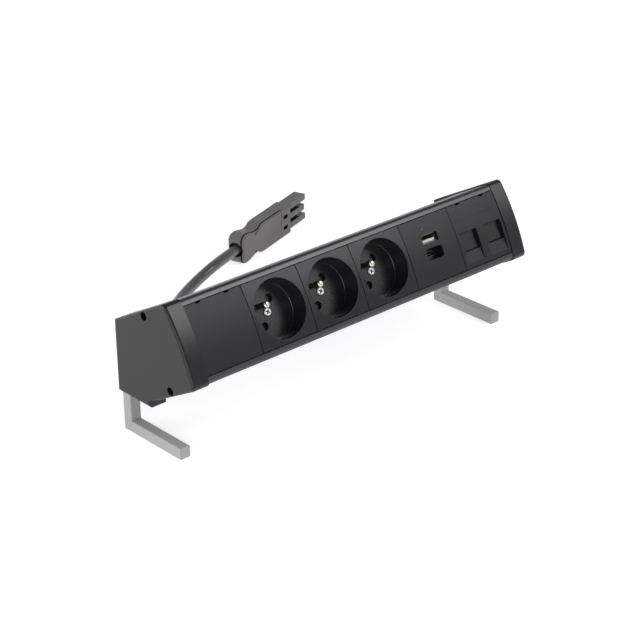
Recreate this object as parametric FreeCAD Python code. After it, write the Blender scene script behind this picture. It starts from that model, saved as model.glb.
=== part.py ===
import FreeCAD, Part
import math
import os

V = FreeCAD.Vector

# Row frame: millimetres, +X along the bar to the data module, +Y to the back, +Z up,
# origin under the middle of the bar on the surface that the feet stand on.
# Face coordinates: x along the bar, y up the leaning face, z out of it.

# Driving dimensions
MODULE = 45.0
MODULE_COUNT = 6
BAR_LENGTH = MODULE * MODULE_COUNT
FACE_LEAN = 61.5
DEPTH = 77.4
FACE_FOOT_HEIGHT = 62.3
CAP_WIDTH = 12.5
BACK_Y = DEPTH / 2
FACE_FOOT_Y = BACK_Y - 76.0
HALF_BAR = BAR_LENGTH / 2
HALF_LENGTH = HALF_BAR + CAP_WIDTH

# Convex fronts
MODULE_BULGE = 1.5
CAP_BULGE = 2.1
PLATE_THICKNESS = 2.0
SEAM = 0.4
PLATE_EDGE = MODULE / 2 - SEAM / 2

# Extruded profile, a channel open to the front
PROFILE_HALF = 27.15
PROFILE_WALL = 1.8
LIP_THICKNESS = 2.4
LIP_SLOPE = 10.0
LIP_CORNER = 3.0
LIP_EDGE = MODULE / 2 + SEAM / 2
PROFILE_STEP = 2.6
STEP_DEPTH = 29.0
WEB_DEPTH = 44.0
SCREW_CHANNEL_Y = 24.4
SCREW_CHANNEL_DEPTH = 25.2
SCREW_CHANNEL_OUTER = 2.7
SCREW_CHANNEL_BORE = 1.6

# End caps
CAP_HALF = 28.05
CAP_CORNER_DEPTH = 0.5
CAP_BOTTOM_Z = 28.7
CAP_STEP_Y = 5.3
CAP_WALL = 2.2
CAP_OUTER_WALL = 2.5
CAP_EDGE = 2.0

# Feet, bent from square bar
BAR_SIZE = 8.0
BAR_EDGE = 0.9
FOOT_LENGTH = 57.0
UPRIGHT_TOP = 50.0
FOOT_INSET = 3.4

# Socket outlets
WELL_RADIUS = 19.5
WELL_WALL = 1.2
WELL_DEPTH = 13.8
COLLAR_HEIGHT = 1.4
COLLAR_RADIUS = 19.2
FLOOR_THICKNESS = 2.4
PIN_SPACING = 19.0
PIN_HOLE_RADIUS = 2.8
EARTH_OFFSET = 10.0
EARTH_RADIUS = 2.4
EARTH_HEIGHT = 15.5
EARTH_TIP = 1.8
OUTLET_TURN = 58.0
BASE_HALF = 20.8
BASE_BACK = 37.5
RIM_RADIUS = 0.4
SHUTTER_TRAVEL = 6.6
SHUTTER_GAP = 0.3
SHUTTER_SPACE = 2.2

# Charger ports
PORT_A_Y = 7.3
PORT_C_Y = -3.2
PORT_C_RECESS = 6.0
BOARD_FRONT = 14.0

# Data outlets
OPENING_X = 11.6
OPENING_WIDTH = 16.6
OPENING_TOP = 2.4
OPENING_BOTTOM = -19.2
RAMP_TOP = -11.1
RAMP_DEPTH = 0.3
DOOR_DEPTH = 1.5
DOOR_THICKNESS = 1.3
DOOR_PLAY = 0.3
DOOR_TRAVEL = 13.5
CARRIER_DEPTH = 3.2

# Lead and plug
CORD_RADIUS = 4.1
GLAND_X = -48.0
GLAND_Z = 42.0
GLAND_LENGTH = 26.0
FEED_X = -MODULE
LINK_RADIUS = 1.4
PLUG_TURN = 19.0
PLUG_TAIL = (72.3, 185.6)
PLUG_BODY = 72.0
PLUG_HEIGHT = 24.0
PLUG_THICKNESS = 13.5
PLUG_COVER_END = 58.5
PLUG_COVER_THICKNESS = 2.2
POLE_HEIGHTS = (-8.0, 0.0, 8.0)
POLE_LENGTHS = (27.0, 25.5, 27.0)
CORD_ENTRY_DEPTH = 6.0

X_AXIS = V(1, 0, 0)
Y_AXIS = V(0, 1, 0)
Z_AXIS = V(0, 0, 1)
NO_SHIFT = V(0, 0, 0)


def box(x0, x1, y0, y1, z0, z1):
    return Part.makeBox(x1 - x0, y1 - y0, z1 - z0, V(x0, y0, z0))


def rod(radius, z0, z1, x=0.0, y=0.0):
    return Part.makeCylinder(radius, z1 - z0, V(x, y, z0), Z_AXIS)


def rod_along_x(radius, x0, x1, y, z):
    return Part.makeCylinder(radius, x1 - x0, V(x0, y, z), X_AXIS)


def rod_along_y(radius, y0, y1, x, z):
    return Part.makeCylinder(radius, y1 - y0, V(x, y0, z), Y_AXIS)


def rounded_block(width, height, radius, z0, z1, x=0.0, y=0.0):
    block = box(x - width / 2, x + width / 2, y - height / 2, y + height / 2, z0, z1)
    upright = [edge for edge in block.Edges if abs(edge.tangentAt(edge.FirstParameter).z) > 0.9]
    return block.makeFillet(radius, upright)


def prism_along_x(wire, x0, x1):
    face = Part.Face(wire)
    face.translate(V(x0, 0, 0))
    return face.extrude(V(x1 - x0, 0, 0))


def moved(shape, place):
    result = shape.copy()
    result.Placement = place.multiply(result.Placement)
    return result


def mirrored(shape):
    return shape.mirror(NO_SHIFT, X_AXIS)


def face_point(y, z, x=0.0):
    """Row-frame point for a place on the leaning face."""
    lean = math.radians(FACE_LEAN)
    up = y + MODULE / 2
    return V(
        x,
        FACE_FOOT_Y + up * math.cos(lean) - z * math.sin(lean),
        FACE_FOOT_HEIGHT + up * math.sin(lean) + z * math.cos(lean),
    )


def on_face(shape, x=0.0):
    """Lean a piece that was modelled flat, with its middle at x along the bar."""
    lean = FreeCAD.Rotation(X_AXIS, FACE_LEAN)
    return moved(shape, FreeCAD.Placement(face_point(0, 0, x), lean))


def turned(shape):
    """Turn an outlet's inner pieces so that the earth pin sits up and to the left."""
    return moved(shape, FreeCAD.Placement(NO_SHIFT, FreeCAD.Rotation(Z_AXIS, OUTLET_TURN)))


def module_x(place):
    return -HALF_BAR + MODULE * (place + 0.5)


def closed_wire(points):
    return Part.makePolygon(points + points[:1])


# Profile and rear cover


def half_section():
    """Upper half of the channel, in face coordinates."""
    inner = PROFILE_HALF - PROFILE_WALL
    rear = PROFILE_HALF - PROFILE_STEP
    slope = math.radians(LIP_SLOPE)
    drop = (PROFILE_HALF - LIP_EDGE) * math.tan(slope)
    low = -drop - LIP_CORNER * math.tan((math.pi / 2 - slope) / 2)
    middle_y = PROFILE_HALF - LIP_CORNER
    lip_start, lip_middle, lip_end = [
        V(0, middle_y + LIP_CORNER * math.cos(angle), low + LIP_CORNER * math.sin(angle))
        for angle in (math.pi / 2 - slope, (math.pi / 2 - slope) / 2, 0)
    ]
    lip_arc = Part.Arc(lip_start, lip_middle, lip_end).toShape()
    outline = [
        lip_end,
        V(0, PROFILE_HALF, -STEP_DEPTH),
        V(0, rear, -STEP_DEPTH - 2),
        V(0, rear, -WEB_DEPTH),
        V(0, 0, -WEB_DEPTH),
        V(0, 0, PROFILE_WALL - WEB_DEPTH),
        V(0, rear - PROFILE_WALL, PROFILE_WALL - WEB_DEPTH),
        V(0, rear - PROFILE_WALL, -STEP_DEPTH - 1.5),
        V(0, inner, 0.5 - STEP_DEPTH),
        V(0, inner, -LIP_THICKNESS),
        V(0, LIP_EDGE, -LIP_THICKNESS),
        V(0, LIP_EDGE, 0),
        lip_start,
    ]
    return Part.Wire([lip_arc] + Part.makePolygon(outline).Edges)


def screw_channel():
    """C-shaped channel that an end cap's screw cuts its thread in."""
    y = SCREW_CHANNEL_Y
    z = -SCREW_CHANNEL_DEPTH
    boss = rod_along_x(SCREW_CHANNEL_OUTER, -HALF_BAR, HALF_BAR, y, z)
    bore = rod_along_x(SCREW_CHANNEL_BORE, -HALF_BAR, HALF_BAR, y, z)
    mouth = box(-HALF_BAR, HALF_BAR, y - SCREW_CHANNEL_OUTER - 1, y, z - 0.8, z + 0.8)
    return boss, bore.fuse(mouth)


def profile():
    upper = prism_along_x(half_section(), -HALF_BAR, HALF_BAR)
    boss, channel = screw_channel()
    upper = upper.fuse(boss).cut(channel)
    lower = upper.mirror(NO_SHIFT, Y_AXIS)
    wire_way = rounded_block(12, 32, 5, -WEB_DEPTH - 1, 3 - WEB_DEPTH, FEED_X, 0)
    return on_face(upper.fuse(lower).cut(wire_way).removeSplitter())


def rear_cover_outline():
    top = face_point(PROFILE_HALF - PROFILE_STEP, -WEB_DEPTH)
    bottom = face_point(PROFILE_STEP - PROFILE_HALF, -WEB_DEPTH)
    back = BACK_Y - 1.6
    floor = CAP_BOTTOM_Z + 1.4
    step = V(0, CAP_STEP_Y + 1.5, floor)
    return closed_wire([top, V(0, back, 71), V(0, back, floor), step, bottom])


def rear_cover():
    thickness = 1.6
    outline = Part.Face(rear_cover_outline())
    room = outline.makeOffset2D(-thickness)
    room.translate(V(-HALF_BAR, 0, 0))
    room = room.extrude(V(BAR_LENGTH, 0, 0))
    mouth = room.copy()
    mouth.translate(face_point(0, 0) - face_point(0, -2.5 * thickness))
    shell = prism_along_x(rear_cover_outline(), -HALF_BAR, HALF_BAR).cut(room.fuse(mouth))
    hole = rod_along_y(7.5, BACK_Y - 8, BACK_Y + 1, GLAND_X, GLAND_Z)
    return shell.cut(hole)


# End caps, feet and their screws


def cap_outline(inset=0.0):
    """Side view of a cap: leaning convex front, upright back, stepped flat bottom."""
    half = CAP_HALF - inset
    corner = -CAP_CORNER_DEPTH - inset
    top_front = face_point(half, corner)
    bottom_front = face_point(-half, corner)
    crown = face_point(0, CAP_BULGE - inset)
    lean = math.radians(FACE_LEAN)
    back = BACK_Y - inset
    step = CAP_STEP_Y + inset
    floor = CAP_BOTTOM_Z + inset
    back_top = V(0, back, top_front.z - (back - top_front.y) / math.tan(lean))
    step_top = V(0, step, bottom_front.z - (step - bottom_front.y) / math.tan(lean))
    front = Part.Arc(bottom_front, crown, top_front).toShape()
    low_edge = [V(0, back, floor), V(0, step, floor), step_top]
    rest = Part.makePolygon([top_front, back_top] + low_edge + [bottom_front])
    return Part.Wire([front] + rest.Edges)


def near(edge, point):
    middle = edge.valueAt((edge.FirstParameter + edge.LastParameter) / 2)
    return math.hypot(middle.y - point.y, middle.z - point.z) < 0.2


def cap_block(x0, x1, inset, front_radius):
    block = prism_along_x(cap_outline(inset), x0, x1)
    half = CAP_HALF - inset
    corners = [face_point(side * half, -CAP_CORNER_DEPTH - inset) for side in (-1, 1)]
    chosen = [edge for edge in block.Edges if any(near(edge, corner) for corner in corners)]
    return block.makeFillet(front_radius, chosen)


def cap_screw_places():
    return [face_point(side * SCREW_CHANNEL_Y, -SCREW_CHANNEL_DEPTH) for side in (1, -1)]


def foot_screw_heights():
    return (37.0, 46.0)


def end_cap_left():
    outer = -HALF_LENGTH
    inner = -HALF_BAR
    solid = cap_block(outer, inner, 0.0, 3.6)
    solid = solid.makeFillet(CAP_EDGE, [edge for edge in solid.Edges if edge.BoundBox.XMax < outer + 0.01])
    room = cap_block(outer + CAP_OUTER_WALL, inner + 1, CAP_WALL, 1.6)
    shell = solid.cut(room)
    foot_block = box(outer + 1, inner, BACK_Y - 16, BACK_Y, CAP_BOTTOM_Z, UPRIGHT_TOP + 2)
    posts = [rod_along_x(4.0, outer + 1, inner, spot.y, spot.z) for spot in cap_screw_places()]
    inside = [piece.common(solid) for piece in posts + [foot_block]]
    shell = shell.fuse(inside)
    recesses = [rod_along_x(2.9, outer - 1, outer + 8, spot.y, spot.z) for spot in cap_screw_places()]
    holes = [rod_along_x(1.6, outer, inner + 1, spot.y, spot.z) for spot in cap_screw_places()]
    slot = box(
        outer + FOOT_INSET, outer + FOOT_INSET + BAR_SIZE,
        BACK_Y - BAR_SIZE, BACK_Y + 1,
        CAP_BOTTOM_Z - 1, UPRIGHT_TOP,
    )
    middle = outer + FOOT_INSET + BAR_SIZE / 2
    pilots = [rod_along_y(1.8, BACK_Y - 14, BACK_Y, middle, z) for z in foot_screw_heights()]
    return shell.cut(recesses + holes + pilots + [slot]).removeSplitter()


def cross_recess(width, depth, top):
    arm = 0.9
    across = box(-width / 2, width / 2, -arm / 2, arm / 2, top - depth, top + 1)
    along = box(-arm / 2, arm / 2, -width / 2, width / 2, top - depth, top + 1)
    return across.fuse(along)


def screw(head_radius, head_height, shank_radius, length):
    """Pan-head screw standing on its tip along Z, with the head's underside at zero."""
    head = rod(head_radius, 0, head_height)
    crown = [edge for edge in head.Edges if abs(edge.CenterOfMass.z - head_height) < 0.01]
    head = head.makeChamfer(head_height * 0.35, crown)
    shank = rod(shank_radius, -length, 0)
    tip = [edge for edge in shank.Edges if abs(edge.CenterOfMass.z + length) < 0.01]
    shank = shank.makeChamfer(shank_radius * 0.4, tip)
    return head.fuse(shank).cut(cross_recess(1.3 * head_radius, head_height * 0.7, head_height))


def cap_screws():
    facing_left = FreeCAD.Rotation(Y_AXIS, -90)
    seat = 8 - HALF_LENGTH
    solids = []
    for spot in cap_screw_places():
        one = moved(screw(2.7, 2.0, 1.6, 16), FreeCAD.Placement(V(seat, spot.y, spot.z), facing_left))
        solids += [one, mirrored(one)]
    return Part.makeCompound(solids)


def leg_left():
    x0 = FOOT_INSET - HALF_LENGTH
    x1 = x0 + BAR_SIZE
    foot = box(x0, x1, BACK_Y - FOOT_LENGTH, BACK_Y, 0, BAR_SIZE)
    upright = box(x0, x1, BACK_Y - BAR_SIZE, BACK_Y, 0, UPRIGHT_TOP)
    leg = foot.fuse(upright).removeSplitter()
    leg = leg.makeFillet(BAR_EDGE, [edge for edge in leg.Edges if edge.Length > BAR_SIZE + 0.1])
    middle = (x0 + x1) / 2
    for z in foot_screw_heights():
        leg = leg.cut(rod_along_y(1.8, BACK_Y - BAR_SIZE - 1, BACK_Y, middle, z))
        leg = leg.cut(rod_along_y(3.1, BACK_Y - 2.2, BACK_Y + 1, middle, z))
    return leg


def leg_screws():
    facing_back = FreeCAD.Rotation(X_AXIS, -90)
    middle = FOOT_INSET - HALF_LENGTH + BAR_SIZE / 2
    solids = []
    for z in foot_screw_heights():
        place = FreeCAD.Placement(V(middle, BACK_Y - 2.2, z), facing_back)
        one = moved(screw(3.1, 1.9, 1.8, 11.5), place)
        solids += [one, mirrored(one)]
    return Part.makeCompound(solids)


# Pieces that every module shares


def module_plate():
    """Square plate with a convex front, flat behind."""
    half = PLATE_EDGE
    crown = Part.Arc(V(0, half, 0), V(0, 0, MODULE_BULGE), V(0, -half, 0)).toShape()
    flat_back = [V(0, -half, -PLATE_THICKNESS), V(0, half, -PLATE_THICKNESS)]
    rest = Part.makePolygon([V(0, -half, 0)] + flat_back + [V(0, half, 0)])
    width = MODULE - SEAM
    return prism_along_x(Part.Wire([crown] + rest.Edges), -width / 2, width / 2)


def latches():
    """Spring arms whose lugs hook behind the profile's two lips."""
    arms = []
    for x in (-11.0, 11.0):
        arm = box(x - 4, x + 4, 20.9, PLATE_EDGE, -10, -PLATE_THICKNESS)
        lug_outline = closed_wire([
            V(0, PLATE_EDGE, -LIP_THICKNESS),
            V(0, 23.6, -LIP_THICKNESS),
            V(0, 23.6, -3.2),
            V(0, PLATE_EDGE, -5.4),
        ])
        lug = prism_along_x(lug_outline, x - 3, x + 3)
        upper = arm.fuse(lug)
        arms += [upper, upper.mirror(NO_SHIFT, Y_AXIS)]
    return arms


def release_notches():
    """Two slots in the top edge that take a screwdriver."""
    low = MODULE / 2 - 1.3
    return [box(x - 2, x + 2, low, MODULE / 2 + 1, -PLATE_THICKNESS - 1, 3) for x in (-11.25, 11.25)]


def frame_wall(front, back, half_x, half_y, wall):
    outer = box(-half_x, half_x, -half_y, half_y, -back, -front)
    return outer.cut(box(wall - half_x, half_x - wall, wall - half_y, half_y - wall, -back - 1, 1 - front))


def blank_plate():
    ribs = [box(x - 0.6, x + 0.6, -18, 18, -6, -PLATE_THICKNESS) for x in (-7.0, 7.0)]
    rim = frame_wall(PLATE_THICKNESS, 9, 21.8, BASE_HALF, 1.4)
    return module_plate().fuse(latches() + ribs + [rim]).cut(release_notches()).removeSplitter()


# Socket outlets


def outlet_cover():
    well = rod(WELL_RADIUS, -WELL_DEPTH - 1, 5)
    wall = rod(WELL_RADIUS + WELL_WALL, -WELL_DEPTH + COLLAR_HEIGHT, -PLATE_THICKNESS / 2)
    skirts = [box(-22.2, -20.9, -11, 11, -22, -PLATE_THICKNESS)]
    skirts += [box(20.9, 22.2, -11, 11, -22, -PLATE_THICKNESS)]
    cover = module_plate().fuse([wall] + skirts + latches()).cut(well).removeSplitter()
    rim = [edge for edge in cover.Edges if edge.BoundBox.ZMin > 0.1 and edge.BoundBox.XLength > WELL_RADIUS]
    return cover.makeFillet(RIM_RADIUS, rim)


def pin_places():
    return [(-PIN_SPACING / 2, 0.0), (PIN_SPACING / 2, 0.0)]


def outlet_insert():
    """Turned floor of the well, with a low collar round it."""
    outer = WELL_RADIUS + WELL_WALL
    floor = rod(outer, -WELL_DEPTH - FLOOR_THICKNESS, -WELL_DEPTH)
    top = COLLAR_HEIGHT - WELL_DEPTH
    collar = rod(outer, -WELL_DEPTH, top).cut(rod(COLLAR_RADIUS, -WELL_DEPTH, 0))
    upper = [edge for edge in collar.Edges if edge.BoundBox.ZMin > top - 0.01]
    collar = collar.makeChamfer(0.25, [edge for edge in upper if edge.BoundBox.XMax < outer - 0.1])
    holes = [rod(PIN_HOLE_RADIUS, -20, 0, x, y) for x, y in pin_places()]
    holes += [rod(EARTH_RADIUS, -20, 0, 0, EARTH_OFFSET), rod(1.5, -20, 0)]
    return turned(floor.fuse(collar).cut(holes).removeSplitter())


def earth_pin():
    top = EARTH_HEIGHT - WELL_DEPTH
    shaft = rod(EARTH_RADIUS, -24, top, 0, EARTH_OFFSET)
    end = [edge for edge in shaft.Edges if abs(edge.CenterOfMass.z - top) < 0.01]
    shaft = shaft.makeFillet(EARTH_TIP, end)
    collar = rod(3.8, -WELL_DEPTH - FLOOR_THICKNESS - 2, -WELL_DEPTH - FLOOR_THICKNESS, 0, EARTH_OFFSET)
    return turned(shaft.fuse(collar))


def outlet_shutter():
    """Slider that closes both pin holes; its open slot clears the middle screw."""
    front = -WELL_DEPTH - FLOOR_THICKNESS - SHUTTER_GAP
    back = -WELL_DEPTH - FLOOR_THICKNESS - SHUTTER_SPACE + SHUTTER_GAP
    plate = rounded_block(26, 10.2, 1.5, back, front, 0, -1.4)
    slot = box(-2.2, 2.2, -2.2, 5, back - 1, front + 1)
    ramps = []
    for x, y in pin_places():
        ramp = closed_wire([V(0, 3.7, front), V(0, 3.7, front - 1.1), V(0, -2.6, front)])
        ramps.append(prism_along_x(ramp, x - 2.4, x + 2.4))
    return turned(plate.cut([slot] + ramps))


def shutter_pocket():
    front = -WELL_DEPTH - FLOOR_THICKNESS
    return box(-13.5, 13.5, -6.5 - SHUTTER_TRAVEL - 0.6, 4.3, front - SHUTTER_SPACE, front + 1)


def outlet_contacts():
    """Two split sleeves that grip the plug's pins."""
    sleeves = []
    for x, y in pin_places():
        sleeve = rod(3.2, -34, -19, x, y).cut(rod(2.35, -35, -18, x, y))
        sleeves.append(sleeve.cut(box(x - 0.5, x + 0.5, y, y + 4, -31, -18)))
    return turned(Part.makeCompound(sleeves))


def outlet_base():
    front = -WELL_DEPTH - FLOOR_THICKNESS
    block = box(-20.9, 20.9, -BASE_HALF, BASE_HALF, -BASE_BACK, front)
    corners = [edge for edge in block.Edges if abs(edge.tangentAt(edge.FirstParameter).z) > 0.9]
    block = block.makeChamfer(3, corners)
    cuts = [rod(3.2, -34, front + 1, x, y) for x, y in pin_places()]
    cuts += [rod(EARTH_RADIUS, -24, front + 1, 0, EARTH_OFFSET)]
    cuts += [rod(3.8, front - 2, front + 1, 0, EARTH_OFFSET), rod(1.5, -28, front + 1)]
    cuts = [turned(cut) for cut in cuts + [shutter_pocket()]]
    return block.cut(cuts)


def outlet_screw():
    fixing = screw(2.7, 1.2, 1.5, 11.6)
    fixing.translate(V(0, 0, -WELL_DEPTH))
    return turned(fixing)


# Charger


def charger_plate():
    lens_hole = rod(1.1, -3, 3, -4.2, 14.5)
    window_a = box(-7.3, 7.3, PORT_A_Y - 3.05, PORT_A_Y + 3.05, -3, 3)
    recess_wall = rounded_block(18, 10.8, 3.2, -PORT_C_RECESS - 1.2, -1, 0, PORT_C_Y)
    recess = rounded_block(15.2, 8.0, 2.2, -PORT_C_RECESS, 3, 0, PORT_C_Y)
    slot_c = rounded_block(9.0, 3.3, 1.6, -PORT_C_RECESS - 2, 0, 0, PORT_C_Y)
    rim = frame_wall(PLATE_THICKNESS, 7, 21.8, BASE_HALF, 1.4)
    plate = module_plate().fuse(latches() + [recess_wall, rim])
    return plate.cut([lens_hole, window_a, recess, slot_c]).removeSplitter()


def charger_housing():
    back = -BASE_BACK
    shell = rounded_block(43.6, 2 * BASE_HALF, 2, back, -7)
    room = rounded_block(40.8, 2 * BASE_HALF - 2.8, 1, back + 2.4, -6)
    top = -BOARD_FRONT - 1.6
    posts = [box(x - 2, x + 2, y - 2, y + 2, back + 1, top) for x in (-16, 16) for y in (-14, 14)]
    return shell.cut(room).fuse(posts)


def charger_board():
    return rounded_block(38, 36, 1.5, -BOARD_FRONT - 1.6, -BOARD_FRONT)


def charger_transformer():
    core = box(-13, 3, -12, 2, -BOARD_FRONT - 14, -BOARD_FRONT - 1.6)
    return core.makeChamfer(1.0, [edge for edge in core.Edges if abs(edge.tangentAt(0).z) > 0.9])


def charger_capacitor():
    return rod(4, -BOARD_FRONT - 13, -BOARD_FRONT - 1.6, 10, -6)


def port_a_shell():
    outer = rounded_block(13.4, 5.9, 0.5, -BOARD_FRONT, -0.8, 0, PORT_A_Y)
    return outer.cut(rounded_block(12.6, 5.1, 0.3, 1 - BOARD_FRONT, 2, 0, PORT_A_Y))


def port_a_tongue():
    return box(-5.6, 5.6, PORT_A_Y - 2.2, PORT_A_Y - 0.4, 1 - BOARD_FRONT, -1.2)


def port_c_shell():
    outer = rounded_block(9.0, 3.3, 1.6, -BOARD_FRONT, 0.6 - PORT_C_RECESS, 0, PORT_C_Y)
    return outer.cut(rounded_block(8.4, 2.7, 1.3, 1 - BOARD_FRONT, 1 - PORT_C_RECESS, 0, PORT_C_Y))


def port_c_tongue():
    return box(-3.3, 3.3, PORT_C_Y - 0.35, PORT_C_Y + 0.35, 1 - BOARD_FRONT, -PORT_C_RECESS)


def charger_light():
    """Light pipe from the lamp on the board to the front."""
    pipe = rod(1.1, -BOARD_FRONT, 1.3, -4.2, 14.5)
    return pipe.makeChamfer(0.3, [edge for edge in pipe.Edges if abs(edge.CenterOfMass.z - 1.3) < 0.01])


# Data outlets


def sides():
    return (-OPENING_X, OPENING_X)


def finger_ramp(x):
    """Sloping floor below an opening, so that a finger reaches the plug's latch."""
    half = OPENING_WIDTH / 2
    wedge = closed_wire([
        V(0, RAMP_TOP, -RAMP_DEPTH),
        V(0, RAMP_TOP, -PLATE_THICKNESS),
        V(0, OPENING_BOTTOM, -PLATE_THICKNESS),
        V(0, OPENING_BOTTOM, 0.15),
    ])
    return prism_along_x(wedge, x - half, x + half)


def door_way(x):
    """Room for a shutter and its travel, sunk into the plate's back."""
    half = OPENING_WIDTH / 2 + 1.0 + DOOR_PLAY
    top = OPENING_TOP + 1 + DOOR_TRAVEL + DOOR_PLAY
    return box(x - half, x + half, RAMP_TOP - 1 - DOOR_PLAY, top, -CARRIER_DEPTH, DOOR_PLAY - DOOR_DEPTH)


def data_plate():
    half = OPENING_WIDTH / 2
    holes = [box(x - half, x + half, OPENING_BOTTOM, OPENING_TOP, -10, 3) for x in sides()]
    rails = [box(-22.2, -21.2, -19, 19, -CARRIER_DEPTH, -PLATE_THICKNESS)]
    rails += [box(-2.0, 2.0, -19, 19, -CARRIER_DEPTH, -PLATE_THICKNESS)]
    rails += [box(21.2, 22.2, -19, 19, -CARRIER_DEPTH, -PLATE_THICKNESS)]
    plate = module_plate().fuse(latches() + rails).cut(holes)
    plate = plate.fuse([finger_ramp(x) for x in sides()]).cut([door_way(x) for x in sides()])
    label_seat = rounded_block(39.4, 9.0, 3.0, 0.55, 3, 0, 15.3)
    return plate.cut([label_seat] + release_notches()).removeSplitter()


def label_window():
    crown = rod_along_x(171.0, -20, 20, 0, MODULE_BULGE - 171.0 - 0.05)
    return rounded_block(39.2, 8.8, 2.9, 0.55, 3, 0, 15.3).common(crown)


def data_shutter(x):
    half = OPENING_WIDTH / 2 + 1.0
    door = box(x - half, x + half, RAMP_TOP - 1, OPENING_TOP + 1, -DOOR_DEPTH - DOOR_THICKNESS, -DOOR_DEPTH)
    finger_groove = box(x - half, x + half, RAMP_TOP + 0.2, RAMP_TOP + 1.0, -DOOR_DEPTH - 0.7, 0)
    return door.cut(finger_groove)


def jack_block(x, grow=0.0):
    half = 7.3 + grow
    return box(x - half, x + half, -13.2 - grow, 3.0 + grow, -30, -CARRIER_DEPTH)


def data_carrier():
    """Frame behind the shutters that the two jacks snap into."""
    frame = box(-22.2, 22.2, -20, 20, -CARRIER_DEPTH - 1.8, -CARRIER_DEPTH)
    rim = frame_wall(CARRIER_DEPTH, 14, 21.8, 20, 1.4)
    return frame.fuse(rim).cut([jack_block(x) for x in sides()])


def data_jack(x):
    cavity = box(x - 5.95, x + 5.95, -9.6, -1.2, -19, -CARRIER_DEPTH + 1)
    latch_way = box(x - 3.1, x + 3.1, -12.0, -9.6, -17, -CARRIER_DEPTH + 1)
    body = jack_block(x).cut([cavity, latch_way])
    combs = []
    for place in range(8):
        pin_x = x + (place - 3.5) * 1.02
        outline = closed_wire([V(0, -1.2, -8.5), V(0, -1.2, -9.2), V(0, -4.6, -17.4), V(0, -4.6, -16.4)])
        combs.append(prism_along_x(outline, pin_x - 0.2, pin_x + 0.2))
    return body.fuse(combs)


# Wiring inside the bar


def link_wire_rows():
    return (-12.0, 0.0, 12.0)


def link_wire(y):
    """Rigid wire along the flat backs of the bases."""
    return rod_along_x(LINK_RADIUS, module_x(1) - 15, module_x(4), y, -BASE_BACK - LINK_RADIUS)


def terminal_block():
    block = box(FEED_X - 12, FEED_X + 12, -18, 18, -WEB_DEPTH - 12, -WEB_DEPTH)
    wells = [rod(2.0, -WEB_DEPTH - 13, -WEB_DEPTH - 6, FEED_X + 6, y) for y in link_wire_rows()]
    return block.cut(wells)


def feed_wires():
    """Short drops from the link wires through the web to the terminals."""
    top = -BASE_BACK - LINK_RADIUS
    drops = [rod(1.1, -WEB_DEPTH, top, FEED_X, y).cut(link_wire(y)) for y in link_wire_rows()]
    return Part.makeCompound(drops)


# Lead, strain relief and plug


def strain_relief():
    """Tapered sleeve with flex grooves, its collar clamped in the rear cover."""
    wall_out = BACK_Y - 1.6
    wall_in = wall_out - 1.6
    tip = wall_out + GLAND_LENGTH
    outline = [(0, wall_in - 4), (9.5, wall_in - 4), (9.5, wall_in), (7.5, wall_in)]
    outline += [(7.5, wall_out), (10, wall_out), (10, wall_out + 2), (7.4, wall_out + 3)]
    grooves = 4
    pitch = (tip - 2 - (wall_out + 4)) / grooves
    for place in range(grooves):
        start = wall_out + 4 + pitch * place
        radius = 7.2 - 1.7 * place / grooves
        outline += [(radius, start), (radius, start + 0.6 * pitch)]
        outline += [(radius - 1.2, start + 0.6 * pitch), (radius - 1.2, start + pitch)]
    outline += [(5.2, tip - 2), (5.2, tip), (0, tip)]
    wire = closed_wire([V(GLAND_X + radius, y, GLAND_Z) for radius, y in outline])
    return Part.Face(wire).revolve(V(GLAND_X, 0, GLAND_Z), Y_AXIS, 360)


def plug_direction():
    turn = math.radians(PLUG_TURN)
    return V(math.cos(turn), math.sin(turn), 0)


def cord_route():
    tail = V(PLUG_TAIL[0], PLUG_TAIL[1], PLUG_HEIGHT / 2) + plug_direction() * CORD_ENTRY_DEPTH
    return [
        V(GLAND_X, BACK_Y - 1.6 + GLAND_LENGTH, GLAND_Z),
        V(GLAND_X, 84, GLAND_Z),
        V(-46, 103, 33.5),
        V(-40, 119.5, 20.5),
        V(-29.5, 136, 9),
        V(-13, 152.5, 4.2),
        V(7.5, 165.6, 4.2),
        V(28.5, 173.3, 7.5),
        tail - plug_direction() * 30,
        tail,
    ]


def cord_path(points):
    """Straight runs joined by tangent arcs, each arc as large as its two runs allow."""
    edges = []
    start = points[0]
    for before, corner, after in zip(points, points[1:], points[2:]):
        to_before = (before - corner).normalize()
        to_after = (after - corner).normalize()
        half_turn = (math.pi - to_before.getAngle(to_after)) / 2
        reach = 0.45 * min((before - corner).Length, (after - corner).Length)
        radius = reach / math.tan(half_turn)
        print("cord radius", round(radius, 1))
        first = corner + to_before * reach
        last = corner + to_after * reach
        inward = (to_before + to_after).normalize()
        middle = corner + inward * (radius / math.cos(half_turn) - radius)
        edges += [Part.LineSegment(start, first).toShape(), Part.Arc(first, middle, last).toShape()]
        start = last
    edges.append(Part.LineSegment(start, points[-1]).toShape())
    return Part.Wire(edges)


def power_cord():
    points = cord_route()
    path = cord_path(points)
    ring = Part.Wire(Part.Circle(points[0], points[1] - points[0], CORD_RADIUS).toShape())
    tube = path.makePipeShell([ring], True, False)
    share = tube.Volume / (path.Length * math.pi * CORD_RADIUS ** 2)
    print("cord length", round(path.Length, 1), "volume share", round(share, 4))
    return tube


def on_plug(shape):
    """Place a plug piece modelled along X from its tail, with its middle height at zero."""
    tail = V(PLUG_TAIL[0], PLUG_TAIL[1], PLUG_HEIGHT / 2)
    return moved(shape, FreeCAD.Placement(tail, FreeCAD.Rotation(Z_AXIS, PLUG_TURN)))


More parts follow.
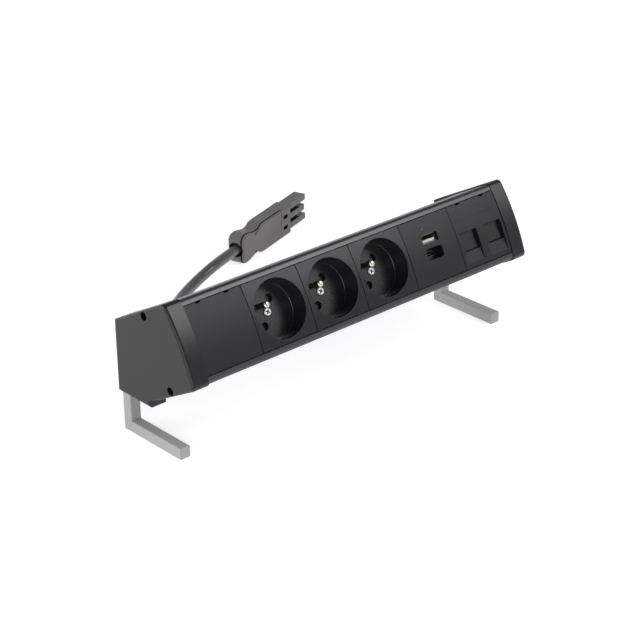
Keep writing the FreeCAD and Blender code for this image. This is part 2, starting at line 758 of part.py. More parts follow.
def plug_outline(inset=0.0):
    """Broad side of the plug: flared grip, waist and straight front."""
    half = PLUG_HEIGHT / 2 - inset
    start = inset
    end = PLUG_BODY - inset
    grip = [V(start + 3, 0, half - 0.9), V(8, 0, half - 0.4), V(18, 0, half - 2.6), V(29, 0, half - 0.2)]
    upper = Part.BSplineCurve()
    upper.interpolate(grip)
    lower = Part.BSplineCurve()
    lower.interpolate([V(p.x, 0, -p.z) for p in reversed(grip)])
    tail_half = half - 3.6
    nose = [V(33, 0, half), V(end, 0, half), V(end, 0, -half), V(33, 0, -half)]
    front = Part.makePolygon([grip[-1]] + nose + [V(29, 0, 0.2 - half)])
    tail_end = [V(start + 3, 0, 0.9 - half), V(start, 0, -tail_half), V(start, 0, tail_half)]
    tail = Part.makePolygon(tail_end + [grip[0]])
    return Part.Wire([upper.toShape()] + front.Edges + [lower.toShape()] + tail.Edges)


def plug_slab(y0, y1, inset=0.0):
    face = Part.Face(plug_outline(inset))
    face.translate(V(0, y0, 0))
    return face.extrude(V(0, y1 - y0, 0))


def pole_sleeve(z, length):
    """Rounded sleeve round one contact, open at its far end."""
    outer = rounded_block(6.2, 9.8, 2.6, -1, length)
    outer = outer.fuse(box(-3.1, -1.5, -4.9, 4.9, -1, length)).removeSplitter()
    bore = rounded_block(3.8, 7.0, 1.6, 4, length + 1)
    along = FreeCAD.Placement(V(PLUG_BODY, 0, z), FreeCAD.Rotation(Y_AXIS, 90))
    return moved(outer.cut(bore), along)


def cord_entry():
    return rod_along_x(CORD_RADIUS, -1, CORD_ENTRY_DEPTH, 0, 0).fuse(rod_along_x(5.9, -1, 4.5, 0, 0))


def plug_housing():
    half = PLUG_THICKNESS / 2
    split = PLUG_COVER_THICKNESS - half
    body = plug_slab(split, half)
    far_edges = [edge for edge in body.Edges if edge.BoundBox.YMin > half - 0.01]
    body = body.makeChamfer(1.2, far_edges)
    front = box(PLUG_COVER_END, PLUG_BODY, -half, split, -PLUG_HEIGHT / 2, PLUG_HEIGHT / 2)
    near_edges = [edge for edge in front.Edges if edge.BoundBox.YMax < 0.01 - half]
    front = front.makeChamfer(1.0, [edge for edge in near_edges if edge.BoundBox.ZLength < 1])
    poles = [pole_sleeve(z, length) for z, length in zip(POLE_HEIGHTS, POLE_LENGTHS)]
    slots = [box(61.5, 68, -half - 1, 2.6 - half, z - 1.5, z + 1.5) for z in (-4.4, 4.4)]
    return on_plug(body.fuse([front] + poles).cut(slots + [cord_entry()]).removeSplitter())


def plug_cover():
    half = PLUG_THICKNESS / 2
    seat = PLUG_COVER_THICKNESS - half
    cover = plug_slab(-half, seat - 0.5, 0.3)
    near_edges = [edge for edge in cover.Edges if edge.BoundBox.YMax < 0.01 - half]
    cover = cover.makeChamfer(0.8, near_edges).fuse(plug_slab(seat - 0.5, seat, 1.3))
    front = box(PLUG_COVER_END - 0.4, PLUG_BODY + 1, -half - 1, half, -PLUG_HEIGHT, PLUG_HEIGHT)
    dots = [rod_along_y(0.9, -half - 1, 1 - half, 19, z) for z in (-7.2, 7.2)]
    return on_plug(cover.cut([front, cord_entry()] + dots))


def plug_contacts():
    pins = []
    for z in POLE_HEIGHTS:
        pin = rod_along_x(1.25, PLUG_BODY + 4, PLUG_BODY + 19, 0, z)
        tip = [edge for edge in pin.Edges if abs(edge.CenterOfMass.x - PLUG_BODY - 19) < 0.01]
        pins.append(pin.makeChamfer(0.4, tip))
    return on_plug(Part.makeCompound(pins))


def outlet_pieces(number):
    x = module_x(number)
    prefix = "socket_" + str(number) + "_"
    makers = {
        "cover": outlet_cover,
        "insert": outlet_insert,
        "earth_pin": earth_pin,
        "screw": outlet_screw,
        "shutter": outlet_shutter,
        "contacts": outlet_contacts,
        "base": outlet_base,
    }
    return {prefix + name: on_face(maker(), x) for name, maker in makers.items()}


def charger_pieces():
    makers = {
        "charger_plate": charger_plate,
        "charger_housing": charger_housing,
        "charger_board": charger_board,
        "charger_transformer": charger_transformer,
        "charger_capacitor": charger_capacitor,
        "port_a_shell": port_a_shell,
        "port_a_tongue": port_a_tongue,
        "port_c_shell": port_c_shell,
        "port_c_tongue": port_c_tongue,
        "charger_light": charger_light,
    }
    return {name: on_face(maker(), module_x(4)) for name, maker in makers.items()}


def data_pieces():
    left, right = sides()
    flat = {
        "data_plate": data_plate(),
        "label_window": label_window(),
        "data_carrier": data_carrier(),
        "data_shutter_left": data_shutter(left),
        "data_shutter_right": data_shutter(right),
        "data_jack_left": data_jack(left),
        "data_jack_right": data_jack(right),
    }
    return {name: on_face(shape, module_x(5)) for name, shape in flat.items()}


def wiring_pieces():
    names = ("live_wire", "neutral_wire", "earth_wire")
    flat = {name: link_wire(y) for name, y in zip(names, link_wire_rows())}
    flat["feed_wires"] = feed_wires()
    flat["terminal_block"] = terminal_block()
    return {name: on_face(shape) for name, shape in flat.items()}


def all_pieces():
    left_cap = end_cap_left()
    left_leg = leg_left()
    pieces = {
        "profile": profile(),
        "rear_cover": rear_cover(),
        "end_cap_left": left_cap,
        "end_cap_right": mirrored(left_cap),
        "cap_screws": cap_screws(),
        "leg_left": left_leg,
        "leg_right": mirrored(left_leg),
        "leg_screws": leg_screws(),
        "blank_plate": on_face(blank_plate(), module_x(0)),
        "strain_relief": strain_relief(),
        "power_cord": power_cord(),
        "plug_housing": plug_housing(),
        "plug_cover": plug_cover(),
        "plug_contacts": plug_contacts(),
    }
    for number in (1, 2, 3):
        pieces.update(outlet_pieces(number))
    pieces.update(charger_pieces())
    pieces.update(data_pieces())
    pieces.update(wiring_pieces())
    return pieces


os.makedirs("parts", exist_ok=True)
for name, shape in all_pieces().items():
    print(name, len(shape.Solids), "valid" if shape.isValid() else "NOT VALID", round(shape.Volume))
    shape.exportStep("parts/" + name + ".step")
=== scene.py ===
import math

import bpy
from mathutils import Matrix, Vector


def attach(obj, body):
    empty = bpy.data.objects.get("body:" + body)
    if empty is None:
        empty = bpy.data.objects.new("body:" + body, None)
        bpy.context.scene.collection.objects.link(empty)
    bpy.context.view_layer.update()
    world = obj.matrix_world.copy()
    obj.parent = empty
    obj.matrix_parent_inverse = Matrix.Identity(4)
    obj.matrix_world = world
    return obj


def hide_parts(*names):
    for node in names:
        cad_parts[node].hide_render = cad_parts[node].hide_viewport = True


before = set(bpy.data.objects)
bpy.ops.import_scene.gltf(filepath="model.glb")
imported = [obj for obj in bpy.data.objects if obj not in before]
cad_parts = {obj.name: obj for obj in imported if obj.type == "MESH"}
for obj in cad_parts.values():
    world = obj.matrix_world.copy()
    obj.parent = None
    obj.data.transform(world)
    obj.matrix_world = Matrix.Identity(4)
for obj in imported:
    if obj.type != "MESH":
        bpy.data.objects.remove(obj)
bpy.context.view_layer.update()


# Extruded bar
# The bar is a channel of extruded aluminium, anodised black, that shows only as a lip above and
# below the modules. A folded sheet of the same finish closes the wiring space behind it.


def linear(hex_code):
    """The linear red, green, blue and alpha of an sRGB hex colour."""
    channels = [int(hex_code[place:place + 2], 16) / 255 for place in (0, 2, 4)]
    return [c / 12.92 if c <= 0.04045 else ((c + 0.055) / 1.055) ** 2.4 for c in channels] + [1.0]


def add_node(material, kind, settings=None, links=None):
    """Add a node with its settings, and link its inputs to (node, output) pairs."""
    node = material.node_tree.nodes.new(kind)
    for name, value in (settings or {}).items():
        if isinstance(name, int) or name in node.inputs:
            node.inputs[name].default_value = value
        else:
            setattr(node, name, value)
    for name, (source, output) in (links or {}).items():
        material.node_tree.links.new(source.outputs[output], node.inputs[name])
    return node


def new_material(name):
    """An empty material made of nodes."""
    material = bpy.data.materials.new(name)
    material.use_nodes = True
    material.node_tree.nodes.clear()
    return material


def wear(names, material):
    """Give bodies of the frame their finish."""
    for name in names:
        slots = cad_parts[name].data.materials
        slots.clear()
        slots.append(material)


def drawn_metal(name, dark, light, roughness, line_mm, relief_mm, metallic=1.0, stretch=1):
    """Metal between two colours with fine lines along X, left by a die or a brush. The lines are
    line_mm apart, relief_mm deep, and stretch times as long as they are wide."""
    tone_limits = (0.3, 0.7)
    gloss_spread = 0.06
    material = new_material(name)
    place = add_node(material, "ShaderNodeTexCoord")
    lines = add_node(material, "ShaderNodeMapping", {"Scale": (1 / stretch, 1.0, 1.0)},
                     {"Vector": (place, "Object")})
    streaks = add_node(material, "ShaderNodeTexNoise",
                       {"Scale": 1000 / line_mm, "Detail": 3.0, "Roughness": 0.6},
                       {"Vector": (lines, "Vector")})
    tone = add_node(material, "ShaderNodeValToRGB", links={"Fac": (streaks, "Fac")})
    for step, limit, colour in zip(tone.color_ramp.elements, tone_limits, (dark, light)):
        step.position = limit
        step.color = linear(colour)
    sheen = add_node(material, "ShaderNodeMapRange",
                     {"To Min": roughness - gloss_spread, "To Max": roughness + gloss_spread},
                     {"Value": (streaks, "Fac")})
    relief = add_node(material, "ShaderNodeBump", {"Strength": 0.6, "Distance": relief_mm / 1000},
                      {"Height": (streaks, "Fac")})
    shader = add_node(material, "ShaderNodeBsdfPrincipled", {"Metallic": metallic},
                      {"Base Color": (tone, "Color"), "Roughness": (sheen, "Result"),
                       "Normal": (relief, "Normal")})
    add_node(material, "ShaderNodeOutputMaterial", links={"Surface": (shader, "BSDF")})
    return material


# The face that carries the modules leans back, and the first module's middle is at its left end.
face_lean = math.radians(61.5)
face_middle = (0.0, -0.02658, 0.08207)
module_width = 0.045
first_middle = -0.1125


def place_in_module(material):
    """Nodes for each point's place on the leaning face: how far it is along the bar from the
    middle of its module, and its height up the face (Y) and out of it (Z)."""
    place = add_node(material, "ShaderNodeTexCoord")
    leaning = add_node(material, "ShaderNodeMapping",
                       {"vector_type": "TEXTURE", "Location": face_middle,
                        "Rotation": (face_lean, 0.0, 0.0)},
                       {"Vector": (place, "Object")})
    spot = add_node(material, "ShaderNodeSeparateXYZ", links={"Vector": (leaning, "Vector")})
    along = add_node(material, "ShaderNodeMath", {"operation": "SUBTRACT", 1: first_middle},
                     {0: (spot, "X")})
    aside = add_node(material, "ShaderNodeMath", {"operation": "PINGPONG", 1: module_width / 2},
                     {0: (along, "Value")})
    return aside, spot


def inside(material, limits):
    """A mask of the points where each given value lies between its two limits."""
    mask = None
    for source, output, low, high in limits:
        part = add_node(material, "ShaderNodeMath",
                        {"operation": "COMPARE", 1: (low + high) / 2, 2: (high - low) / 2},
                        {0: (source, output)})
        mask = part if mask is None else add_node(material, "ShaderNodeMath",
                                                  {"operation": "MULTIPLY"},
                                                  {0: (mask, "Value"), 1: (part, "Value")})
    return mask


def change_part(material, mask, changes):
    """Mix another colour or roughness into the part of a surface that a mask covers."""
    shader = next(node for node in material.node_tree.nodes
                  if node.bl_idname == "ShaderNodeBsdfPrincipled")
    for socket, value in changes.items():
        source = shader.inputs[socket].links[0].from_socket
        kind = "FLOAT" if isinstance(value, float) else "RGBA"
        mix = add_node(material, "ShaderNodeMix", {"data_type": kind, "B": value},
                       {"Factor": (mask, "Value"), "A": (source.node, source.name)})
        material.node_tree.links.new(mix.outputs["Result"], shader.inputs[socket])


# Black anodising over a matte-etched extrusion: dark, with a soft metallic sheen along the lips.
# The die leaves lines about 0.1 mm apart, drawn at 0.9 mm so that they show.
black_anodised_aluminium = drawn_metal("black_anodised_aluminium", "4b4c4e", "545557", roughness=0.4,
                                       line_mm=0.9, relief_mm=0.01, stretch=60)
# The cut edges of the lips face the modules across a narrow gap, where little light reaches them, so they
# are painted black as shade.
lip_edge = 0.02278
# Painted shade: black and fully rough, for places too narrow or deep for the light.
painted_shade = {"Base Color": linear("000000"), "Roughness": 1.0}
aside, spot = place_in_module(black_anodised_aluminium)
lip_gap_shade = inside(black_anodised_aluminium, [(spot, "Y", -lip_edge, lip_edge)])
change_part(black_anodised_aluminium, lip_gap_shade, painted_shade)
wear(["profile"], black_anodised_aluminium)
# The same anodising on rolled sheet is a little glossier than on the extrusion.
black_anodised_sheet = drawn_metal("black_anodised_sheet", "4b4c4e", "545557", roughness=0.34,
                                   line_mm=0.9, relief_mm=0.01, stretch=60)
wear(["rear_cover"], black_anodised_sheet)


# End caps
# Each cap is one die-cast shell with a fine textured paint. Two screws in its side run into the
# screw channels of the bar, and their heads sit at the bottom of round recesses.


def moulded(name, dark, light, roughness, grain_mm, relief_mm, specular=0.5):
    """Moulded or painted surface between two colours that change slowly, with an even grain that
    is grain_mm wide and relief_mm deep."""
    tone_limits = (0.35, 0.65)
    gloss_spread = 0.05
    material = new_material(name)
    place = add_node(material, "ShaderNodeTexCoord")
    cloud = add_node(material, "ShaderNodeTexNoise", {"Scale": 18.0, "Detail": 2.0},
                     {"Vector": (place, "Object")})
    tone = add_node(material, "ShaderNodeValToRGB", links={"Fac": (cloud, "Fac")})
    for step, limit, colour in zip(tone.color_ramp.elements, tone_limits, (dark, light)):
        step.position = limit
        step.color = linear(colour)
    grain = add_node(material, "ShaderNodeTexNoise",
                     {"Scale": 1000 / grain_mm, "Detail": 2.0, "Roughness": 0.5},
                     {"Vector": (place, "Object")})
    sheen = add_node(material, "ShaderNodeMapRange",
                     {"To Min": roughness - gloss_spread, "To Max": roughness + gloss_spread},
                     {"Value": (grain, "Fac")})
    relief = add_node(material, "ShaderNodeBump", {"Strength": 0.5, "Distance": relief_mm / 1000},
                      {"Height": (grain, "Fac")})
    shader = add_node(material, "ShaderNodeBsdfPrincipled", {"Specular IOR Level": specular},
                      {"Base Color": (tone, "Color"), "Roughness": (sheen, "Result"),
                       "Normal": (relief, "Normal")})
    add_node(material, "ShaderNodeOutputMaterial", links={"Surface": (shader, "BSDF")})
    return material


# Textured paint, black and satin: its grain is about 0.3 mm, drawn at 0.8 mm so that it shows.
textured_black_paint = moulded("textured_black_paint", "111113", "151517", roughness=0.32,
                               grain_mm=0.8, relief_mm=0.05, specular=0.44)
wear(["end_cap_left", "end_cap_right"], textured_black_paint)
# The cap screws are blackened steel, as is usual on a dark part: nearly black, with a dull shine.
blackened_steel = drawn_metal("blackened_steel", "1c1c1d", "29292b", roughness=0.4, line_mm=0.4,
                              relief_mm=0.004, metallic=0.9)
wear(["cap_screws"], blackened_steel)


# Feet
# Each foot is a square steel bar, bent once and powder-coated in silver grey. It lies in a slot
# in the back of its cap, held by two screws.

# Powder coat: even and matte, with an orange-peel grain of about 0.6 mm, drawn at 0.9 mm to show.
silver_powder_coat = moulded("silver_powder_coat", "b0b0ad", "b8b8b5", roughness=0.48,
                             grain_mm=0.9, relief_mm=0.03)
wear(["leg_left", "leg_right"], silver_powder_coat)
# Zinc plate on the screws' steel: pale, bright and a little uneven.
zinc_plated_steel = drawn_metal("zinc_plated_steel", "b8b8b4", "d8d8d4", roughness=0.32, line_mm=0.4,
                                relief_mm=0.004)
wear(["leg_screws"], zinc_plated_steel)


# Module fronts
# Every module is a square front of moulded polycarbonate with a slight outward bow, semi-gloss
# and nearly black, clipped between the bar's lips.


def black_polycarbonate(name, roughness, relief_mm, paint_side_shade):
    """Spark-eroded polycarbonate: nearly black, with a soft gloss from a grain of about 0.1 mm, drawn at 0.9
    mm. The narrow gaps round a module get little light, so its outer walls are painted black as shade, and
    where a module closes up to its neighbours only the upper and lower ones are."""
    module_edge = 0.0222
    material = moulded(name, "17171a", "1b1b1f", roughness, grain_mm=0.9, relief_mm=relief_mm,
                       specular=0.35)
    aside, spot = place_in_module(material)
    front = [(spot, "Y", -module_edge, module_edge)]
    if paint_side_shade:
        front.append((aside, "Value", -module_edge, module_edge))
    # Painted shade: everything outside the lit front is painted black.
    walls = add_node(material, "ShaderNodeMath", {"operation": "SUBTRACT", 0: 1.0},
                     {1: (inside(material, front), "Value")})
    change_part(material, walls, painted_shade)
    return material, aside, spot


plate_polycarbonate = black_polycarbonate("black_polycarbonate", 0.44, 0.035, paint_side_shade=True)[0]
wear(["blank_plate", "charger_plate"], plate_polycarbonate)
tight_polycarbonate = black_polycarbonate("tight_polycarbonate", 0.44, 0.035, paint_side_shade=False)[0]
wear(["data_plate"], tight_polycarbonate)


# Socket outlets
# Behind each well lie a turned floor with two pin holes, a nickel-plated earth pin, a zinc-plated
# screw, the safety shutter, two brass sleeves and a heat-resistant base.

# The outlet's front is a little glossier than the plates, and its well is the polished part of the mould,
# which mirrors the room. The well is also painted a lighter colour than the front, as painted light inside
# it.
well_polycarbonate, aside, spot = black_polycarbonate("well_polycarbonate", 0.38, 0.03, paint_side_shade=True)
well_reach = 0.0205
well_start = -0.0008
well_gloss_and_light = inside(well_polycarbonate, [(aside, "Value", -well_reach, well_reach), (spot, "Z", -1.0, well_start)])
# Painted light: a lighter colour in the well, with the polished well's low roughness.
change_part(well_polycarbonate, well_gloss_and_light, {"Base Color": linear("202023"), "Roughness": 0.16})
# The floor of the well is moulded without texture and shines more than the front.
glossy_black_insert = moulded("glossy_black_insert", "1f1f21", "242426", roughness=0.26,
                              grain_mm=0.7, relief_mm=0.004)
# Nickel over turned brass: warm white and bright.
nickel_plated_brass = drawn_metal("nickel_plated_brass", "cfc8b8", "e6dfd0", roughness=0.25,
                                  line_mm=0.5, relief_mm=0.003)
# Stamped brass of the sleeves, bare and yellow.
stamped_brass = drawn_metal("stamped_brass", "b08a3e", "c8a456", roughness=0.35, line_mm=0.5,
                            relief_mm=0.005)
# Urea resin of the base, off-white and dull.
white_urea_resin = moulded("white_urea_resin", "cfccc4", "d9d6ce", roughness=0.5, grain_mm=0.8,
                           relief_mm=0.02)
# Acetal of the shutters, dark and slippery.
black_acetal = moulded("black_acetal", "101011", "141415", roughness=0.38, grain_mm=0.8,
                       relief_mm=0.01)
# The screw is zinc-plated too. Its narrow, deep cross recess is painted dark as shade.
cross_steel = drawn_metal("cross_steel", "b8b8b4", "d8d8d4", roughness=0.32, line_mm=0.4,
                          relief_mm=0.004)
head_top = -0.0127
cross_reach = 0.0013
aside, spot = place_in_module(cross_steel)
reach = add_node(cross_steel, "ShaderNodeCombineXYZ", links={"X": (aside, "Value"), "Y": (spot, "Y")})
reach = add_node(cross_steel, "ShaderNodeVectorMath", {"operation": "LENGTH"}, {0: (reach, "Vector")})
cross = inside(cross_steel, [(reach, "Value", -cross_reach, cross_reach), (spot, "Z", -1.0, head_top)])
change_part(cross_steel, cross, {"Base Color": linear("3c4444"), "Roughness": 1.0})
outlet_finishes = {"cover": well_polycarbonate, "insert": glossy_black_insert,
                   "earth_pin": nickel_plated_brass, "screw": cross_steel, "shutter": black_acetal,
                   "contacts": stamped_brass, "base": white_urea_resin}
for piece, finish in outlet_finishes.items():
    wear([f"socket_{number}_{piece}" for number in (1, 2, 3)], finish)


# Charger
# A circuit board in its own housing carries the two ports and the lamp, which reaches the front
# through a clear pipe.

wear(["charger_housing", "terminal_block"], white_urea_resin)
# Green solder mask over glass laminate: even and glossy.
green_laminate = moulded("green_laminate", "0f3d22", "14502c", roughness=0.3, grain_mm=1.2,
                         relief_mm=0.01)
wear(["charger_board"], green_laminate)
# Yellow tape wound round the ferrite core, smooth with a slight shine.
yellow_core_tape = moulded("yellow_core_tape", "b99a1e", "c9aa2c", roughness=0.35, grain_mm=1.5,
                           relief_mm=0.02)
wear(["charger_transformer"], yellow_core_tape)
# Black nylon of the capacitor's can and of the small port's contact carrier: plain and dull.
black_nylon = moulded("black_nylon", "1a1a1b", "202021", roughness=0.45, grain_mm=0.8,
                      relief_mm=0.01)
wear(["charger_capacitor", "port_c_tongue"], black_nylon)
# Drawn steel shell of the wide port, tin-plated and dull.
tin_plated_steel = drawn_metal("tin_plated_steel", "7d7568", "968d7e", roughness=0.42, line_mm=0.4,
                               relief_mm=0.003)
wear(["port_a_shell"], tin_plated_steel)
# The small shell lies deep in its recess, and is painted darker than the wide one as shade.
shaded_tin_plate = drawn_metal("shaded_tin_plate", "5a544a", "6d665b", roughness=0.45, line_mm=0.4,
                             relief_mm=0.003)
wear(["port_c_shell"], shaded_tin_plate)
# White nylon of the wide port's contact carrier, which shows as its bright stripe.
white_nylon = moulded("white_nylon", "dcdcd8", "e4e4e0", roughness=0.4, grain_mm=0.8,
                      relief_mm=0.01)
wear(["port_a_tongue"], white_nylon)
# Acrylic of the light pipe, green and glossy.
green_acrylic = moulded("green_acrylic", "18602f", "237a40", roughness=0.25, grain_mm=0.8,
                        relief_mm=0.002)
wear(["charger_light"], green_acrylic)


# Data outlets
# Two jacks snap into a carrier behind the front. A shutter slides up in front of each one, behind
# the label's window.

# The window is dark plastic with nearly the same dull gloss as the plate round it.
smoked_window = moulded("smoked_window", "141416", "18181b", roughness=0.42, grain_mm=1.0,
                        relief_mm=0.01, specular=0.33)
wear(["label_window"], smoked_window)
# Acetal of the shutters, nearly black. The finger groove along the lower edge is painted black as shade.
shutter_acetal = moulded("shutter_acetal", "0d0d0f", "111113", roughness=0.42, grain_mm=0.8,
                         relief_mm=0.01, specular=0.4)
shutter_front = -0.00155
aside, spot = place_in_module(shutter_acetal)
groove_shade = inside(shutter_acetal, [(spot, "Z", -1.0, shutter_front)])
change_part(shutter_acetal, groove_shade, painted_shade)
wear(["data_shutter_left", "data_shutter_right"], shutter_acetal)
wear(["data_carrier"], black_acetal)
wear(["data_jack_left", "data_jack_right"], black_nylon)


# Wiring
# Three rigid link wires join the outlets and the charger, and short copper drops take them to
# the supply terminals behind the bar's web.

# Soft vinyl insulation in the wiring colours, with a waxy shine.
vinyl_colours = {"live_wire": ("brown_vinyl", "3d2314", "472a19"),
                 "neutral_wire": ("blue_vinyl", "1f3f8a", "254a9c"),
                 "earth_wire": ("green_vinyl", "3f7d1f", "4a8d27")}
for wire, colours in vinyl_colours.items():
    wear([wire], moulded(*colours, roughness=0.45, grain_mm=1.0, relief_mm=0.01))
# Drawn copper, bare and reddish.
bare_copper = drawn_metal("bare_copper", "a86444", "c07a58", roughness=0.35, line_mm=0.5,
                          relief_mm=0.004)
wear(["feed_wires"], bare_copper)


# Lead
# The lead is a grey rubber-jacketed cable. It leaves a tapered sleeve in the rear cover, bends
# down to the surface behind the bar and lies there up to its plug.

cord_diameter = 0.0082
cord_route = [
    (-0.0480, 0.0631, 0.0420),
    (-0.0480, 0.0840, 0.0420),
    (-0.0460, 0.1030, 0.0335),
    (-0.0400, 0.1195, 0.0205),
    (-0.0295, 0.1360, 0.0090),
    (-0.0130, 0.1525, 0.0042),
    (0.0075, 0.1656, 0.0042),
    (0.0285, 0.1733, 0.0075),
    (0.0496, 0.1778, 0.0120),
    (0.0780, 0.1876, 0.0120),
]
cord_line = bpy.data.curves.new("lead", "CURVE")
cord_line.dimensions = "3D"
spline = cord_line.splines.new("NURBS")
spline.points.add(len(cord_route) - 1)
for point, place in zip(spline.points, cord_route):
    point.co = (*place, 1.0)
spline.order_u = 3
spline.use_endpoint_u = True
spline.resolution_u = 16
cord_line.bevel_depth = cord_diameter / 2
cord_line.bevel_resolution = 8
cord_line.use_fill_caps = True
lead = bpy.data.objects.new("lead", cord_line)
bpy.context.scene.collection.objects.link(lead)

# Rubber jacket: grey and smooth, with a long soft highlight.
grey_rubber = moulded("grey_rubber", "4c4a48", "575452", roughness=0.2, grain_mm=1.1,
                      relief_mm=0.008, specular=1.0)
lead.data.materials.append(grey_rubber)
wear(["strain_relief"], grey_rubber)
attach(lead, "bar")
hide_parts("power_cord")


# Plug
# The plug is a flat moulded body with a flared grip, a snap-on cover and three sleeves side by
# side, each round a turned contact.

# Glass-filled nylon: mid grey and dull. Its mould texture is about 0.2 mm, drawn at 0.8 mm to show.
grey_filled_nylon = moulded("grey_filled_nylon", "6c6a68", "777571", roughness=0.42, grain_mm=0.8,
                            relief_mm=0.03, specular=0.3)
# Places on the plug are measured from its tail: X to its front, Y through it and Z across it.
plug_tail = (0.0723, 0.1856, 0.012)
plug_turn = math.radians(19)
broad_side = -0.00675
place = add_node(grey_filled_nylon, "ShaderNodeTexCoord")
local = add_node(grey_filled_nylon, "ShaderNodeMapping",
                 {"vector_type": "TEXTURE", "Location": plug_tail, "Rotation": (0.0, 0.0, plug_turn)},
                 {"Vector": (place, "Object")})
spot = add_node(grey_filled_nylon, "ShaderNodeSeparateXYZ", links={"Vector": (local, "Vector")})
around = add_node(grey_filled_nylon, "ShaderNodeCombineXYZ", links={"Y": (spot, "Y"), "Z": (spot, "Z")})
around = add_node(grey_filled_nylon, "ShaderNodeVectorMath", {"operation": "LENGTH"},
                  {0: (around, "Vector")})
across = add_node(grey_filled_nylon, "ShaderNodeMath", {"operation": "ABSOLUTE"}, {0: (spot, "Z")})
# Painted shade: its recesses are painted black, namely the cable's entry, the two slots and two dots, the
# joint of the cover and the narrow gaps between the sleeves.
plug_recess_shade = [
    [(spot, "X", 0.0002, 0.0065), (around, "Value", -1.0, 0.0061)],
    [(spot, "X", 0.016, 0.0695), (spot, "Y", broad_side + 0.00005, broad_side + 0.003),
     (across, "Value", -1.0, 0.0082)],
    [(spot, "X", -1.0, 0.0585), (spot, "Y", broad_side + 0.0014, broad_side + 0.0023)],
    [(spot, "X", 0.0722, 0.09), (across, "Value", 0.00305, 0.00495)],
]
for limits in plug_recess_shade:
    change_part(grey_filled_nylon, inside(grey_filled_nylon, limits),
                {"Base Color": linear("050505"), "Roughness": 1.0})
wear(["plug_housing", "plug_cover"], grey_filled_nylon)
wear(["plug_contacts"], stamped_brass)


# Floor
# A wide white floor without an edge. It takes the object's shadow, and adds its own white for the
# camera and for gloss, so that the background stays white at a plain level of light.

floor_size = 12.0
floor_glow = 0.66
bpy.ops.object.select_all(action="DESELECT")
bpy.ops.mesh.primitive_plane_add(size=floor_size, location=(0.0, 0.0, 0.0))
floor = bpy.context.object
floor.name = "floor"
# Matte white paint.
white_floor = new_material("white_floor")
rays = add_node(white_floor, "ShaderNodeLightPath")
seen = add_node(white_floor, "ShaderNodeMath", {"operation": "MAXIMUM"},
                {0: (rays, "Is Camera Ray"), 1: (rays, "Is Glossy Ray")})
seen = add_node(white_floor, "ShaderNodeMath", {"operation": "MAXIMUM"},
                {0: (seen, "Value"), 1: (rays, "Is Transmission Ray")})
paint = add_node(white_floor, "ShaderNodeBsdfDiffuse", {"Color": linear("e6e6e6")})
glow = add_node(white_floor, "ShaderNodeEmission", {"Strength": floor_glow})
bright = add_node(white_floor, "ShaderNodeAddShader", links={0: (paint, "BSDF"), 1: (glow, "Emission")})
surface = add_node(white_floor, "ShaderNodeMixShader",
                   links={0: (seen, "Value"), 1: (paint, "BSDF"), 2: (bright, "Shader")})
add_node(white_floor, "ShaderNodeOutputMaterial", links={"Surface": (surface, "Shader")})
floor.data.materials.append(white_floor)


# Light
# A pale room that darkens upwards and towards the front, and five soft lamps: a front lamp and a
# small key lamp at the right, one at the left, one behind it, and a weak one for the rear edges.

horizon_light, top_light = 1.0, 0.12
back_light, front_light = 1.1, 0.6
front_direction = (0.62, -0.78, 0.0)
room_tint = (0.97, 0.985, 1.04, 1.0)
studio = bpy.data.worlds.new("studio")
bpy.context.scene.world = studio
studio.use_nodes = True
studio.node_tree.nodes.clear()
direction = add_node(studio, "ShaderNodeTexCoord")
height = add_node(studio, "ShaderNodeSeparateXYZ", links={"Vector": (direction, "Generated")})
walls = add_node(studio, "ShaderNodeMapRange",
                 {"From Min": 0.0, "From Max": 0.9, "To Min": horizon_light, "To Max": top_light},
                 {"Value": (height, "Z")})
forward = add_node(studio, "ShaderNodeVectorMath", {"operation": "DOT_PRODUCT", 1: front_direction},
                   {0: (direction, "Generated")})
side = add_node(studio, "ShaderNodeMapRange",
                {"From Min": -1.0, "From Max": 1.0, "To Min": back_light, "To Max": front_light},
                {"Value": (forward, "Value")})
level = add_node(studio, "ShaderNodeMath", {"operation": "MULTIPLY"},
                 {0: (walls, "Result"), 1: (side, "Result")})
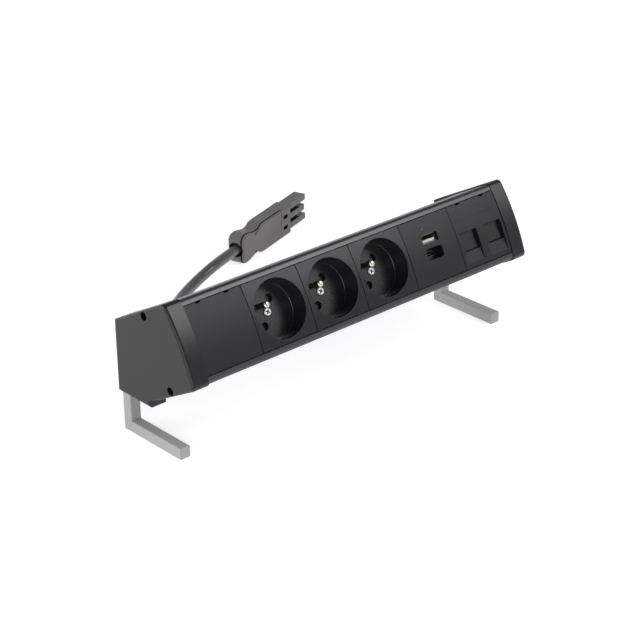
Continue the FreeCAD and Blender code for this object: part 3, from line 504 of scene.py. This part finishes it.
# The camera sees plain white where it looks past the floor.
seen_sky = add_node(studio, "ShaderNodeLightPath")
strength = add_node(studio, "ShaderNodeMath", {"operation": "MAXIMUM"},
                    {0: (level, "Value"), 1: (seen_sky, "Is Camera Ray")})
tint = add_node(studio, "ShaderNodeMix", {"data_type": "RGBA", "A": room_tint, "B": (1.0, 1.0, 1.0, 1.0)},
                {"Factor": (seen_sky, "Is Camera Ray")})
sky = add_node(studio, "ShaderNodeBackground",
               links={"Color": (tint, "Result"), "Strength": (strength, "Value")})
add_node(studio, "ShaderNodeOutputWorld", links={"Surface": (sky, "Background")})


def soft_lamp(name, place, aim, width, watts):
    """A square lamp that points at a height above the middle of the object."""
    lamp = bpy.data.lights.new(name, "AREA")
    lamp.shape = "RECTANGLE"
    lamp.size = width
    lamp.size_y = width
    lamp.energy = watts
    holder = bpy.data.objects.new(name, lamp)
    bpy.context.scene.collection.objects.link(holder)
    holder.location = place
    target = Vector((0.0, 0.0, aim))
    holder.rotation_euler = (target - Vector(place)).to_track_quat("-Z", "Y").to_euler()


soft_lamp("front_lamp", (0.88, -1.02, 1.18), aim=0.08, width=0.8, watts=11)
soft_lamp("key_lamp", (0.99, -1.12, 0.88), aim=0.08, width=0.25, watts=0.8)
soft_lamp("left_lamp", (-1.45, -1.1, 0.55), aim=0.05, width=1.0, watts=7)
soft_lamp("back_left_lamp", (-1.6, 0.9, 0.45), aim=0.05, width=1.0, watts=12)
soft_lamp("rim_lamp", (0.95, 0.72, 1.48), aim=0.08, width=1.2, watts=1)


# Camera
# A long lens at the photograph's angle, from the front left and above. Its place and its two image
# directions come from a fit to the module seams, the caps and the feet.

camera_place = (-0.78328, -0.86088, 0.60442)
image_right = Vector((0.74015, -0.67235, -0.01113))
image_up = Vector((0.29975, 0.31508, 0.90049))
lens = bpy.data.cameras.new("camera")
lens.sensor_width = 36.0
lens.lens = 109.85
viewer = bpy.data.objects.new("camera", lens)
bpy.context.scene.collection.objects.link(viewer)
turn = Matrix((image_right, image_up, image_right.cross(image_up))).transposed().to_4x4()
viewer.matrix_world = Matrix.Translation(camera_place) @ turn
bpy.context.scene.camera = viewer
bpy.context.scene.view_settings.view_transform = "Standard"
